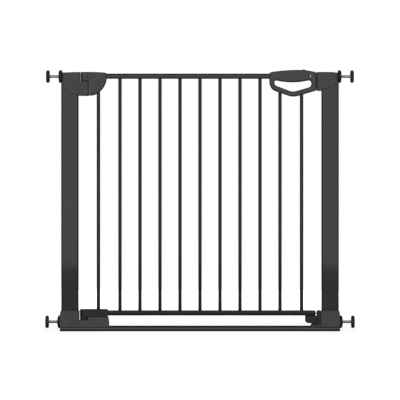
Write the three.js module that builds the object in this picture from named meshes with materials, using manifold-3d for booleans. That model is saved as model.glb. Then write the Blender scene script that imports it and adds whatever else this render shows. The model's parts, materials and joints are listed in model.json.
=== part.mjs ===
import * as THREE from 'three';
import { mergeVertices } from 'three/addons/utils/BufferGeometryUtils.js';
import Module from 'manifold-3d';

const wasm = await Module();
wasm.setup();

// Pressure-fit safety gate. Sizes are in millimetres.
// X runs along the gate, Y from front to back, Z up from the floor.

const FIT = 0.3; // gap between pieces that touch in the real gate
const FINE = 20; // sides of a turned piece or a bore
const CURVE = 6; // segments of one curved stretch of an outline

// Frame
const POST_INNER = 352.2;
const POST_OUTER = 402.2;
const POST_HALF_DEPTH = 10;
const POST_WALL = 1.5;
const POST_CORNER = 4;
const POST_TOP = 716.5;
const POST_MIDDLE = (POST_INNER + POST_OUTER) / 2;
const THRESHOLD_END = 403;
const THRESHOLD_HALF_DEPTH = 15;
const THRESHOLD_TOP = 15.25;
const THRESHOLD_CORNER = 6;
const CAP_FLANGE = 2.1;
const CAP_PLUG = 13;

// Feet
const FOOT_BOTTOM = 11.8;
const FOOT_TOP = 59.3;
const FOOT_OUTER = 405.4;
const FOOT_WALL_INNER = 350.2;
const FOOT_HALF_DEPTH = 18;
const FOOT_UPPER_HALF_DEPTH = 13.2;
const LEFT_FOOT_RIGHT = -263.2;
const LEFT_FOOT_STEP = 40.8; // top of the part that the door's hinge corner turns over
const RIGHT_FOOT_LEFT = 321.4;
const RIGHT_FOOT_LIP = 18;
const STRIKE_WALL = 338.7;
const STRIKE_LEDGE = 22.6;

// Upper brackets
const BRACKET_HALF_DEPTH = 12;
const BRACKET_OUTER = 399.3;
const BRACKET_EDGE = 1;
const BRACKET_CORNER = 5; // seen from above, beside the door's knuckle
const BRACKET_TOP = 751;
const KEEPER_BOTTOM = 696.6;
const SPIGOT_BOTTOM = 692;
const SPIGOT_CORNER = 3;
const KEEPER_FACE = 339;
const KEEPER_POCKET_END = 352;
const KEEPER_POCKET_HALF_DEPTH = 8;
const KEEPER_POCKET_Z = [727, 748];

// Screws, from the rear
const BRACKET_SCREW_Z = 703;
const FOOT_SCREW_Z = 46;
const SCREW_SHANK = 1.9;
const SCREW_HOLE = SCREW_SHANK + FIT;
const SCREW_HEAD = 3.5;
const SCREW_HEAD_HEIGHT = 2.2;

// Hinge
const HINGE_X = -336.5;
const PIN_RADIUS = 4;
const PIN_BORE = PIN_RADIUS + FIT;
const BUSH_RADIUS = 6;
const BUSH_BORE = BUSH_RADIUS + FIT;
const UPPER_BUSH_BOTTOM = 690.4;
const LOWER_BUSH_BOTTOM = 18.6;
const UPPER_PIN = [692, 743.6];
const LOWER_PIN = [19.5, 60.9];
const SEAM_Z = 725;
const KNUCKLE_RADIUS = 13.9;
const KNUCKLE_WALL_X = -347.5; // the fixed bracket's wall beside the door's knuckle
const GATE_KNUCKLE_RADIUS = 9;
const GATE_WALL_X = -321;
const RECESS_FLOOR = 31.8;
const RECESS_RIGHT = -324.6;
const BOSS_RADIUS = 11.4;
const BOSS_BOTTOM = 32.2;
const SHOE_BOTTOM = 41.3;
const SHOE_TOP = 63.7;
const SHOE_RIGHT = -266.8;
const SHOE_HALF_DEPTH = 10;
const SHOE_KNUCKLE_RADIUS = 12;
const CATCH_LEFT = 304.9;
const CATCH_RIGHT = 338.2;
const CATCH_BOTTOM = 23.2;
const CATCH_HALF_DEPTH = 9;
const SPRING_POCKET_RADIUS = 8.5;
const SPRING_POCKET_TOP = 56;
const SPRING_RADIUS = 6.3;
const SPRING_WIRE = 0.7;
const SPRING_BOTTOM = 35.4;
const SPRING_TOP = 54.6;
const SPRING_TURNS = 5;

// Door panel
const RAIL_SIZE = 14.2;
const RAIL_WALL = 1.2;
const TOP_RAIL_Z = 739;
const BOTTOM_RAIL_Z = 52.6;
const TOP_RAIL_ENDS = [-312, 262];
const BOTTOM_RAIL_ENDS = [-318, 332];
const BAR_RADIUS = 4.65;
const BAR_WALL = 1;
const BAR_SIDES = 16;
const BAR_PITCH = 58;
const END_BAR_X = 294.5;
const BAR_HOLE = BAR_RADIUS + 0.35;
const BAR_BOTTOM = 55.5;
const BAR_TOP_IN_RAIL = 735.5;
const BAR_TOP_IN_BRACKET = 702;
const BAR_TOP_IN_LEFT_BOW = 700.5;
const BAR_TOP_IN_RIGHT_BOW = 694.7;

// Handle and latch
const HANDLE_HALF_DEPTH = 13;
const HANDLE_WALL = 2.5;
const HANDLE_EDGE = 2.4;
const HANDLE_RIGHT = 336.9;
const HANDLE_SCREWS = [[208.8, 716], [330, 712]];
const HANDLE_SCREW_SHANK = 1.5;
const HANDLE_SCREW_HEAD = 3;
const HANDLE_WELL = 10; // depth at which the screw heads seat
const LATCH_Z = 739.7;
const BOLT_HALF = 4;
const BOLT_NOSE = 338;
const BOLT_TAIL = 283;
const BUTTON_X = 300.2;
const BUTTON_HALF_WIDTH = 4.5;
const BUTTON_HALF_LENGTH = 7;
const BUTTON_TOP = 758.6;
const BUTTON_FLANGE = [284.5, 322.5];
const BUTTON_FLANGE_Z = 746;
const PEG_RADIUS = 1.9;
const BOLT_TRAVEL = 9;
const WINDOW_X = 320;
const WINDOW_Z = 738.6;
const WINDOW_HALF_WIDTH = 1.9;
const WINDOW_HALF_HEIGHT = 4;
const WINDOW_FLANGE = 1.2;
const WINDOW_SEAT = 9; // depth of the flange's rear face

// Wall adjusters
const UPPER_AXIS_Z = 738;
const LOWER_AXIS_Z = 27;
const SPINDLE_RADIUS = 4;
const SPINDLE_LENGTH = 59;
const SPINDLE_BORE = SPINDLE_RADIUS + FIT;
const SPINDLE_BORE_END = 357;
const UPPER_PAD_FACE = 445.5;
const LOWER_PAD_FACE = 447.8;
const CUP_RADIUS = 18.2;
const CUP_INNER = 9.4; // cup's inner face, back from the pad's face
const PAD_RADIUS = 16.5;
const PAD_THICKNESS = 4.2;

const MATERIALS = {
  powder_coat: [0x3f3f40, 0.35, 0.5],
  moulded_grey: [0x424243, 0, 0.6],
  moulded_black: [0x1d1d1e, 0, 0.55],
  rubber: [0x111112, 0, 0.9],
  zinc: [0xb4b4b2, 0.9, 0.35],
  indicator_green: [0x9fc3a4, 0, 0.3],
};

const gate = new THREE.Group();
gate.name = 'safety_gate';

function add(name, slot, geometry, parent = gate) {
  const [color, metalness, roughness] = MATERIALS[slot];
  const material = new THREE.MeshStandardMaterial({ color, metalness, roughness });
  material.name = slot;
  const mesh = new THREE.Mesh(geometry, material);
  mesh.name = name;
  parent.add(mesh);
}

// Solids ---------------------------------------------------------------------------------------

function toSolid(geometry) {
  const bare = new THREE.BufferGeometry();
  bare.setAttribute('position', geometry.getAttribute('position').clone());
  bare.setIndex(geometry.index);
  const merged = mergeVertices(bare, 1e-4);
  const corners = merged.index.array;
  const kept = [];
  for (let i = 0; i < corners.length; i += 3) {
    const [a, b, c] = corners.slice(i, i + 3);
    if (a !== b && b !== c && c !== a) kept.push(a, b, c);
  }
  return new wasm.Manifold(new wasm.Mesh({
    numProp: 3,
    vertProperties: new Float32Array(merged.attributes.position.array),
    triVerts: new Uint32Array(kept),
  }));
}

function toGeometry(solid) {
  const mesh = solid.getMesh();
  const geometry = new THREE.BufferGeometry();
  geometry.setAttribute('position', new THREE.BufferAttribute(mesh.vertProperties, 3));
  geometry.setIndex(new THREE.BufferAttribute(mesh.triVerts, 1));
  geometry.computeVertexNormals();
  return geometry;
}

function cut(body, ...tools) {
  const left = tools.reduce((solid, tool) => solid.subtract(toSolid(tool)), toSolid(body));
  return toGeometry(left);
}

function join(body, ...others) {
  return toGeometry(others.reduce((solid, other) => solid.add(toSolid(other)), toSolid(body)));
}

function common(body, other) {
  return toGeometry(toSolid(body).intersect(toSolid(other)));
}

// Shapes ---------------------------------------------------------------------------------------

// A step of 2 numbers is a line, of 4 a quadratic curve, of 6 a cubic one.
function outline(start, steps, Kind = THREE.Shape) {
  const shape = new Kind();
  shape.moveTo(...start);
  for (const step of steps) {
    if (step.length === 2) shape.lineTo(...step);
    if (step.length === 4) shape.quadraticCurveTo(...step);
    if (step.length === 6) shape.bezierCurveTo(...step);
  }
  return shape;
}

function roundedRectangle(u0, u1, v0, v1, radius, Kind = THREE.Shape) {
  const shape = new Kind();
  shape.moveTo(u0 + radius, v0);
  shape.absarc(u1 - radius, v0 + radius, radius, -Math.PI / 2, 0);
  shape.absarc(u1 - radius, v1 - radius, radius, 0, Math.PI / 2);
  shape.absarc(u0 + radius, v1 - radius, radius, Math.PI / 2, Math.PI);
  shape.absarc(u0 + radius, v0 + radius, radius, Math.PI, 1.5 * Math.PI);
  return shape;
}

function tubeSection(u0, u1, v0, v1, radius, wall) {
  const shape = roundedRectangle(u0, u1, v0, v1, radius);
  const inner = Math.max(radius - wall, 0.5);
  shape.holes.push(roundedRectangle(u0 + wall, u1 - wall, v0 + wall, v1 - wall, inner, THREE.Path));
  return shape;
}

function circle(radius, Kind = THREE.Shape) {
  const shape = new Kind();
  shape.absarc(0, 0, radius, 0, 2 * Math.PI);
  return shape;
}

function extruded(shape, length, edge, curveSegments, bevelSegments = 1) {
  const geometry = new THREE.ExtrudeGeometry(shape, {
    depth: length - 2 * edge,
    curveSegments,
    bevelEnabled: edge > 0,
    bevelThickness: edge,
    bevelSize: edge,
    bevelOffset: -edge,
    bevelSegments,
  });
  geometry.translate(0, 0, edge);
  return geometry;
}

// A shape drawn in X and Y, run up from z0 to z1.
function alongZ(shape, z0, z1, edge = 0, curveSegments = CURVE) {
  return extruded(shape, z1 - z0, edge, curveSegments).translate(0, 0, z0);
}

// A shape drawn in X and Z, run back from y0 to y1.
function alongY(shape, y0, y1, edge = 0, curveSegments = CURVE, bevelSegments = 1) {
  const geometry = extruded(shape, y1 - y0, edge, curveSegments, bevelSegments);
  return geometry.rotateX(Math.PI / 2).translate(0, y1, 0);
}

// A shape drawn in Y and Z, run right from x0 to x1.
function alongX(shape, x0, x1, edge = 0, curveSegments = CURVE) {
  const geometry = extruded(shape, x1 - x0, edge, curveSegments);
  return geometry.rotateX(Math.PI / 2).rotateZ(Math.PI / 2).translate(x0, 0, 0);
}

function box(x0, x1, y0, y1, z0, z1) {
  const geometry = new THREE.BoxGeometry(x1 - x0, y1 - y0, z1 - z0);
  return geometry.translate((x0 + x1) / 2, (y0 + y1) / 2, (z0 + z1) / 2);
}

function rodZ(x, z0, z1, radius, sides = FINE) {
  const geometry = new THREE.CylinderGeometry(radius, radius, z1 - z0, sides);
  return geometry.rotateX(Math.PI / 2).translate(x, 0, (z0 + z1) / 2);
}

function rodX(x0, x1, z, radius) {
  const geometry = new THREE.CylinderGeometry(radius, radius, x1 - x0, FINE);
  return geometry.rotateZ(Math.PI / 2).translate((x0 + x1) / 2, 0, z);
}

function rodY(x, y0, y1, z, radius, sides = 16) {
  const geometry = new THREE.CylinderGeometry(radius, radius, y1 - y0, sides);
  return geometry.translate(x, (y0 + y1) / 2, z);
}

// A profile of [radius, height] points turned about X, its height running outward.
function turnedX(profile) {
  const points = profile.map(([radius, height]) => new THREE.Vector2(radius, height));
  return new THREE.LatheGeometry(points, FINE).rotateZ(-Math.PI / 2);
}

// Frame ----------------------------------------------------------------------------------------

function post(side) {
  const xs = [side * POST_INNER, side * POST_OUTER].sort((a, b) => a - b);
  const section = tubeSection(...xs, -POST_HALF_DEPTH, POST_HALF_DEPTH, POST_CORNER, POST_WALL);
  const bottom = THRESHOLD_TOP + FIT;
  const tube = alongZ(section, bottom, POST_TOP, 0, 3);
  const outerWall = [side * (POST_OUTER - 3), side * (POST_OUTER + 3)].sort((a, b) => a - b);
  const spindleHole = rodX(...outerWall, LOWER_AXIS_Z, SPINDLE_BORE + FIT);
  const screwHole = (z) => rodY(side * POST_MIDDLE, 7, 12, z, SCREW_HOLE);
  return cut(tube, spindleHole, screwHole(FOOT_SCREW_Z), screwHole(BRACKET_SCREW_Z));
}

function thresholdTube() {
  const depth = THRESHOLD_HALF_DEPTH;
  const section = tubeSection(-depth, depth, 0, THRESHOLD_TOP, THRESHOLD_CORNER, POST_WALL);
  return alongX(section, -THRESHOLD_END, THRESHOLD_END, 0, 4);
}

function thresholdCap(side) {
  const depth = THRESHOLD_HALF_DEPTH;
  const flange = roundedRectangle(-depth, depth, 0, THRESHOLD_TOP, THRESHOLD_CORNER);
  const inset = POST_WALL + FIT;
  const plug = roundedRectangle(
    inset - depth, depth - inset, inset, THRESHOLD_TOP - inset, THRESHOLD_CORNER - inset);
  const start = THRESHOLD_END + FIT;
  const cap = join(
    alongX(flange, start, start + CAP_FLANGE, 0.6, 4),
    alongX(plug, start - CAP_PLUG, start + 1, 0, 2));
  return side > 0 ? cap : cap.rotateZ(Math.PI);
}

function footSection() {
  const wide = FOOT_HALF_DEPTH;
  const slim = FOOT_UPPER_HALF_DEPTH;
  return outline([-wide, FOOT_BOTTOM], [
    [wide, FOOT_BOTTOM],
    [wide, 24],
    [wide, 28, slim + 1.5, 33],
    [slim, 35.5, slim, 39],
    [slim, FOOT_TOP - 1.5],
    [slim, FOOT_TOP, slim - 1.5, FOOT_TOP],
    [1.5 - slim, FOOT_TOP],
    [-slim, FOOT_TOP, -slim, FOOT_TOP - 1.5],
    [-slim, 39],
    [-slim, 35.5, -slim - 1.5, 33],
    [-wide, 28, -wide, 24],
  ]);
}

// What both feet leave free for: the post, the threshold, the spindle and the rear screw.
function footHollows(side) {
  const span = (near, far) => [side * near, side * far].sort((a, b) => a - b);
  const depth = POST_HALF_DEPTH + FIT;
  const floor = THRESHOLD_HALF_DEPTH + FIT;
  return [
    box(...span(POST_INNER - FIT, POST_OUTER + FIT), -depth, depth, FOOT_BOTTOM, FOOT_TOP + 1),
    box(...span(200, 420), -floor, floor, 0, THRESHOLD_TOP + FIT),
    rodX(...span(POST_OUTER - 2, FOOT_OUTER + 2), LOWER_AXIS_Z, SPINDLE_BORE + FIT),
    rodY(side * POST_MIDDLE, 9, 16, FOOT_SCREW_Z, SCREW_HOLE),
  ];
}

function leftFoot() {
  const right = LEFT_FOOT_RIGHT;
  const face = outline([right, FOOT_BOTTOM], [
    [right - 1.8, LEFT_FOOT_STEP - 2.3],
    [right - 2, LEFT_FOOT_STEP, right - 4.3, LEFT_FOOT_STEP],
    [RECESS_RIGHT, LEFT_FOOT_STEP],
    [RECESS_RIGHT, RECESS_FLOOR],
    [-FOOT_WALL_INNER, RECESS_FLOOR],
    [-FOOT_WALL_INNER, FOOT_TOP],
    [3.5 - FOOT_OUTER, FOOT_TOP],
    [1.2 - FOOT_OUTER, FOOT_TOP - 0.5, 0.6 - FOOT_OUTER, FOOT_TOP - 4],
    [-FOOT_OUTER, 48],
    [-FOOT_OUTER, FOOT_BOTTOM],
  ]);
  const block = alongY(face, -20, 20);
  const section = alongX(footSection(), -420, -250);
  const bushBore = rodZ(HINGE_X, LOWER_BUSH_BOTTOM - FIT, RECESS_FLOOR + 1, BUSH_BORE);
  return cut(common(block, section), ...footHollows(-1), bushBore);
}

function rightFoot() {
  const face = outline([RIGHT_FOOT_LEFT, FOOT_BOTTOM], [
    [FOOT_OUTER, FOOT_BOTTOM],
    [FOOT_OUTER, 48],
    [FOOT_OUTER - 0.6, FOOT_TOP - 4],
    [FOOT_OUTER - 1.2, FOOT_TOP - 0.5, FOOT_OUTER - 3.5, FOOT_TOP],
    [FOOT_WALL_INNER, FOOT_TOP],
    [FOOT_WALL_INNER, RIGHT_FOOT_LIP],
    [RIGHT_FOOT_LEFT, RIGHT_FOOT_LIP],
  ]);
  const block = alongY(face, -20, 20);
  const section = alongX(footSection(), 300, 420);
  return cut(common(block, section), ...footHollows(1));
}

function bottomStrike() {
  const left = RIGHT_FOOT_LEFT + 1.2;
  const right = FOOT_WALL_INNER - FIT;
  const bottom = RIGHT_FOOT_LIP + FIT;
  const top = FOOT_TOP + 0.7;
  const face = outline([left, bottom], [
    [right, bottom],
    [right, top - 1.7],
    [right, top, right - 1.7, top],
    [STRIKE_WALL + 2.3, top],
    [STRIKE_WALL, top, STRIKE_WALL, top - 2.7],
    [STRIKE_WALL, STRIKE_LEDGE],
    [left + 4.1, STRIKE_LEDGE],
    [left + 1.6, STRIKE_LEDGE, left, bottom + 1.3],
  ]);
  return common(alongY(face, -20, 20), alongX(footSection(), 300, 420).translate(0, 0, 1));
}

// The tube end that an upper bracket grips, and the plug that enters the tube.
function bracketPocket(side) {
  const xs = [side * (POST_INNER - FIT), side * (POST_OUTER + 3)].sort((a, b) => a - b);
  const depth = POST_HALF_DEPTH + FIT;
  return box(...xs, -depth, depth, 640, POST_TOP + FIT);
}

function bracketSpigot(side) {
  const inset = POST_WALL + FIT;
  const xs = [side * (POST_INNER + inset), side * (BRACKET_OUTER - FIT)].sort((a, b) => a - b);
  const depth = POST_HALF_DEPTH - inset;
  const section = roundedRectangle(...xs, -depth, depth, SPIGOT_CORNER);
  return alongZ(section, SPIGOT_BOTTOM, POST_TOP + 2, 0, 2);
}

function bracketBores(side) {
  const xs = [side * SPINDLE_BORE_END, side * (BRACKET_OUTER + 2)].sort((a, b) => a - b);
  return [
    rodX(...xs, UPPER_AXIS_Z, SPINDLE_BORE),
    rodY(side * POST_MIDDLE, -2, 14, BRACKET_SCREW_Z, SCREW_HOLE),
  ];
}

// Seen from above: a round knuckle up to the seam, and a wall clear of the door's knuckle over it.
function upperBracketPlan() {
  const depth = BRACKET_HALF_DEPTH;
  const reach = Math.asin(depth / KNUCKLE_RADIUS);
  const lower = new THREE.Shape();
  lower.moveTo(-POST_OUTER, -depth);
  lower.absarc(HINGE_X, 0, KNUCKLE_RADIUS, -reach, reach);
  lower.lineTo(-POST_OUTER, depth);
  const upper = roundedRectangle(-POST_OUTER - 10, KNUCKLE_WALL_X, -depth, depth, BRACKET_CORNER);
  const seam = SEAM_Z - FIT / 2;
  return join(alongZ(lower, 600, seam), alongZ(upper, seam - 5, 800, 0, 3));
}

function upperHingeBracket() {
  const top = SEAM_Z - FIT / 2;
  const left = -BRACKET_OUTER;
  const right = HINGE_X + KNUCKLE_RADIUS;
  const wall = KNUCKLE_WALL_X;
  const face = outline([left, 717.5], [
    [-395, 703.2, -384.3, 694.4],
    [-373, 684.9, -360, 683.7],
    [-350, 682.4],
    [right - 3, 681.6],
    [right, 681.6, right, 684],
    [right, top - 2.2],
    [right, top, right - 2.4, top],
    [wall, top],
    [wall, BRACKET_TOP - 2.6],
    [wall, BRACKET_TOP, wall - 2.6, BRACKET_TOP],
    [left + 2.6, BRACKET_TOP - 1.5],
    [left, BRACKET_TOP - 1.7, left, BRACKET_TOP - 4.2],
  ]);
  const block = alongY(face, -BRACKET_HALF_DEPTH, BRACKET_HALF_DEPTH, BRACKET_EDGE);
  const shell = cut(common(block, upperBracketPlan()), bracketPocket(-1));
  const bushBore = rodZ(HINGE_X, UPPER_BUSH_BOTTOM - FIT, SEAM_Z + 1, BUSH_BORE);
  return cut(join(shell, bracketSpigot(-1)), ...bracketBores(-1), bushBore);
}

function keeperBracket() {
  const left = KEEPER_FACE;
  const right = BRACKET_OUTER;
  const bottom = KEEPER_BOTTOM;
  const top = BRACKET_TOP;
  const face = outline([left, bottom + 2.6], [
    [left, bottom, left + 2.6, bottom],
    [352.5, bottom],
    [358, 699, 369, 702.2],
    [392, 707.5, right, 717.6],
    [right, top - 4.8],
    [right, top - 2.6, right - 2.6, top - 2.1],
    [392, top - 0.6, 377, top - 0.2],
    [left + 2.6, top],
    [left, top, left, top - 2.6],
  ]);
  const block = alongY(face, -BRACKET_HALF_DEPTH, BRACKET_HALF_DEPTH, BRACKET_EDGE);
  const shell = cut(block, bracketPocket(1));
  const depth = KEEPER_POCKET_HALF_DEPTH;
  const boltPocket = box(left - 3, KEEPER_POCKET_END, -depth, depth, ...KEEPER_POCKET_Z);
  return cut(join(shell, bracketSpigot(1)), ...bracketBores(1), boltPocket);
}

function bracketScrew(side, z, face) {
  const under = face + FIT;
  const head = rodY(side * POST_MIDDLE, under, under + SCREW_HEAD_HEIGHT, z, SCREW_HEAD);
  const shank = rodY(side * POST_MIDDLE, 2, under + 1, z, SCREW_SHANK);
  return join(head, shank);
}

function bush(z0, z1) {
  const ring = circle(BUSH_RADIUS);
  ring.holes.push(circle(PIN_BORE, THREE.Path));
  return alongZ(ring, z0, z1, 0, FINE / 2).translate(HINGE_X, 0, 0);
}

function addFrame() {
  add('left_post', 'powder_coat', post(-1));
  add('right_post', 'powder_coat', post(1));
  add('threshold_tube', 'powder_coat', thresholdTube());
  add('threshold_end_cap_left', 'moulded_black', thresholdCap(-1));
  add('threshold_end_cap_right', 'moulded_black', thresholdCap(1));
  add('left_foot_bracket', 'moulded_grey', leftFoot());
  add('right_foot_bracket', 'moulded_grey', rightFoot());
  add('bottom_strike', 'moulded_black', bottomStrike());
  add('upper_hinge_bracket', 'moulded_grey', upperHingeBracket());
  add('keeper_bracket', 'moulded_grey', keeperBracket());
  add('bracket_screw_1', 'zinc', bracketScrew(-1, BRACKET_SCREW_Z, BRACKET_HALF_DEPTH));
  add('bracket_screw_2', 'zinc', bracketScrew(1, BRACKET_SCREW_Z, BRACKET_HALF_DEPTH));
  add('bracket_screw_3', 'zinc', bracketScrew(-1, FOOT_SCREW_Z, FOOT_UPPER_HALF_DEPTH));
  add('bracket_screw_4', 'zinc', bracketScrew(1, FOOT_SCREW_Z, FOOT_UPPER_HALF_DEPTH));
  add('upper_hinge_bush', 'moulded_black', bush(UPPER_BUSH_BOTTOM, SEAM_Z - FIT));
  add('lower_hinge_bush', 'moulded_black', bush(LOWER_BUSH_BOTTOM, RECESS_FLOOR - FIT));
}

// Wall adjusters, built along +X and turned round for the left side ----------------------------

function spindle(padFace) {
  const outer = padFace - CUP_INNER + 3.3;
  return rodX(outer - SPINDLE_LENGTH, outer, 0, SPINDLE_RADIUS);
}

function wallCup(padFace) {
  const inner = padFace - CUP_INNER;
  return turnedX([
    [0, 3.6], [SPINDLE_BORE, 3.6], [SPINDLE_BORE, 0], [15, 0], [17.3, 0.9], [CUP_RADIUS, 3],
    [CUP_RADIUS, 6.3], [17.6, 7.7], [16.9, 7.7], [16.9, 4.9], [0, 4.9],
  ]).translate(inner, 0, 0);
}

function wallPad(padFace) {
  const depth = PAD_THICKNESS;
  return turnedX([[0, -depth], [PAD_RADIUS, -depth], [PAD_RADIUS, -0.9], [PAD_RADIUS - 0.9, 0], [0, 0]])
    .translate(padFace, 0, 0);
}

function upperWheel() {
  const bore = SPINDLE_BORE;
  return turnedX([
    [bore, 0], [16.4, 0], [18.5, 1.5], [19, 3.8], [18.7, 6.4], [17.2, 8.6], [14, 9.9], [8, 10.2],
    [bore, 10.2], [bore, 0],
  ]).translate(BRACKET_OUTER + FIT, 0, 0);
}

function lowerWheel() {
  const bore = SPINDLE_BORE;
  return turnedX([
    [bore, 0], [17.6, 0], [18.9, 1.4], [18.9, 2.6], [17.6, 5], [14, 7], [8.5, 8], [bore, 8], [bore, 0],
  ]).translate(FOOT_OUTER + FIT, 0, 0);
}

function addAdjuster(place, side, axisZ, padFace, wheel) {
  const group = new THREE.Group();
  group.position.z = axisZ;
  group.rotation.z = side > 0 ? 0 : Math.PI;
  add(`spindle_${place}`, 'zinc', spindle(padFace), group);
  add(`wall_cup_${place}`, 'moulded_black', wallCup(padFace), group);
  add(`wall_pad_${place}`, 'rubber', wallPad(padFace), group);
  add(`nut_wheel_${place}`, 'moulded_black', wheel(), group);
  gate.add(group);
}

// Door panel -----------------------------------------------------------------------------------

function barPositions() {
  const inner = [];
  for (let i = -4; i <= 4; i += 1) inner.push(i * BAR_PITCH);
  return [-END_BAR_X, ...inner, END_BAR_X];
}

function barTop(index) {
  if (index === 0) return BAR_TOP_IN_BRACKET;
  if (index === 9) return BAR_TOP_IN_LEFT_BOW;
  if (index === 10) return BAR_TOP_IN_RIGHT_BOW;
  return BAR_TOP_IN_RAIL;
}

function bar(x, top) {
  const ring = circle(BAR_RADIUS);
  ring.holes.push(circle(BAR_RADIUS - BAR_WALL, THREE.Path));
  return alongZ(ring, BAR_BOTTOM, top, 0, BAR_SIDES / 2).translate(x, 0, 0);
}

function rail(ends, z, holeXs, holeBottom, holeTop) {
  const half = RAIL_SIZE / 2;
  const tube = alongX(tubeSection(-half, half, z - half, z + half, 2, RAIL_WALL), ...ends, 0, 3);
  return cut(tube, ...holeXs.map((x) => rodZ(x, holeBottom, holeTop, BAR_HOLE, BAR_SIDES)));
}

function gateHingeBracket() {
  const seam = SEAM_Z + FIT / 2;
  const left = HINGE_X - GATE_KNUCKLE_RADIUS;
  const wall = GATE_WALL_X;
  const face = outline([wall, 684.6], [
    [wall, 682.6, wall + 2.6, 682.6],
    [-311, 682.6, -303, 686],
    [-284, 696, -270, 713, -270, 741],
    [-270, 748, -273.2, 748.7],
    [-290, BRACKET_TOP, wall, BRACKET_TOP],
    [left + 2.6, BRACKET_TOP],
    [left, BRACKET_TOP, left, BRACKET_TOP - 2.6],
    [left, seam],
    [wall, seam],
  ]);
  const depth = BRACKET_HALF_DEPTH;
  const plan = new THREE.Shape();
  plan.moveTo(wall, -depth);
  plan.lineTo(-250, -depth);
  plan.lineTo(-250, depth);
  plan.lineTo(wall, depth);
  plan.absarc(HINGE_X, 0, GATE_KNUCKLE_RADIUS, 0.55 * Math.PI, 1.45 * Math.PI);
  const block = alongY(face, -depth, depth, BRACKET_EDGE);
  const half = RAIL_SIZE / 2 + FIT;
  return cut(
    common(block, alongZ(plan, 600, 800)),
    box(TOP_RAIL_ENDS[0] - FIT, -250, -half, half, TOP_RAIL_Z - half, TOP_RAIL_Z + half),
    rodZ(HINGE_X, SEAM_Z - 1, UPPER_PIN[1] + FIT, PIN_BORE),
    rodZ(-END_BAR_X, 670, BAR_TOP_IN_BRACKET + FIT, BAR_HOLE, BAR_SIDES));
}

function gateHingeShoe() {
  const depth = SHOE_HALF_DEPTH;
  const plan = new THREE.Shape();
  plan.moveTo(HINGE_X + 15, -depth);
  plan.lineTo(SHOE_RIGHT, -depth);
  plan.lineTo(SHOE_RIGHT, depth);
  plan.lineTo(HINGE_X + 15, depth);
  plan.absarc(HINGE_X, 0, SHOE_KNUCKLE_RADIUS, 0.45 * Math.PI, 1.55 * Math.PI);
  const face = outline([-360, SHOE_BOTTOM], [
    [SHOE_RIGHT, SHOE_BOTTOM],
    [SHOE_RIGHT, SHOE_TOP - 3],
    [SHOE_RIGHT - 0.5, SHOE_TOP, SHOE_RIGHT - 4.5, SHOE_TOP],
    [-360, SHOE_TOP],
  ]);
  const upper = common(alongZ(plan, SHOE_BOTTOM, SHOE_TOP, 1), alongY(face, -15, 15));
  const boss = rodZ(HINGE_X, BOSS_BOTTOM, SHOE_BOTTOM + 2, BOSS_RADIUS);
  const half = RAIL_SIZE / 2 + FIT;
  return cut(
    join(upper, boss),
    box(BOTTOM_RAIL_ENDS[0] - FIT, -260, -half, half, BOTTOM_RAIL_Z - half, BOTTOM_RAIL_Z + half),
    rodZ(HINGE_X, BOSS_BOTTOM - 1, SPRING_POCKET_TOP, SPRING_POCKET_RADIUS),
    rodZ(HINGE_X, SPRING_POCKET_TOP - 1, LOWER_PIN[1] + FIT, PIN_BORE),
    rodZ(-END_BAR_X, BOTTOM_RAIL_Z, SHOE_TOP + 1, BAR_HOLE, BAR_SIDES));
}

function bottomCatchShoe() {
  const railEnd = BOTTOM_RAIL_ENDS[1];
  const railBottom = BOTTOM_RAIL_Z - RAIL_SIZE / 2;
  const plateLeft = railEnd + FIT;
  const plateRight = plateLeft + 2.3;
  const face = outline([CATCH_LEFT, railBottom - FIT], [
    [CATCH_LEFT, CATCH_BOTTOM + 11],
    [CATCH_LEFT, CATCH_BOTTOM, CATCH_LEFT + 11, CATCH_BOTTOM],
    [CATCH_RIGHT, CATCH_BOTTOM],
    [CATCH_RIGHT, 43],
    [CATCH_RIGHT, 45, plateRight + 0.6, 45.2],
    [plateRight, 50],
    [CATCH_RIGHT, 50.4],
    [CATCH_RIGHT, 52.6],
    [plateRight, 53.2],
    [plateRight, 59.4],
    [plateLeft, 59.4],
    [plateLeft, railBottom - FIT],
  ]);
  const inside = RAIL_SIZE / 2 - RAIL_WALL - FIT;
  const plug = box(railEnd - 14, plateLeft + 1, -inside, inside, BOTTOM_RAIL_Z - inside,
    BOTTOM_RAIL_Z + inside);
  return join(alongY(face, -CATCH_HALF_DEPTH, CATCH_HALF_DEPTH), plug);
}

class Helix extends THREE.Curve {
  getPoint(t, target = new THREE.Vector3()) {
    const angle = 2 * Math.PI * SPRING_TURNS * t;
    const z = SPRING_BOTTOM + (SPRING_TOP - SPRING_BOTTOM) * t;
    return target.set(SPRING_RADIUS * Math.cos(angle), SPRING_RADIUS * Math.sin(angle), z);
  }
}

function closerSpring() {
  const wire = new THREE.ExtrudeGeometry(circle(SPRING_WIRE), {
    extrudePath: new Helix(),
    steps: 12 * SPRING_TURNS,
    curveSegments: 3,
    bevelEnabled: false,
  });
  return toGeometry(toSolid(wire)).translate(HINGE_X, 0, 0);
}

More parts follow.
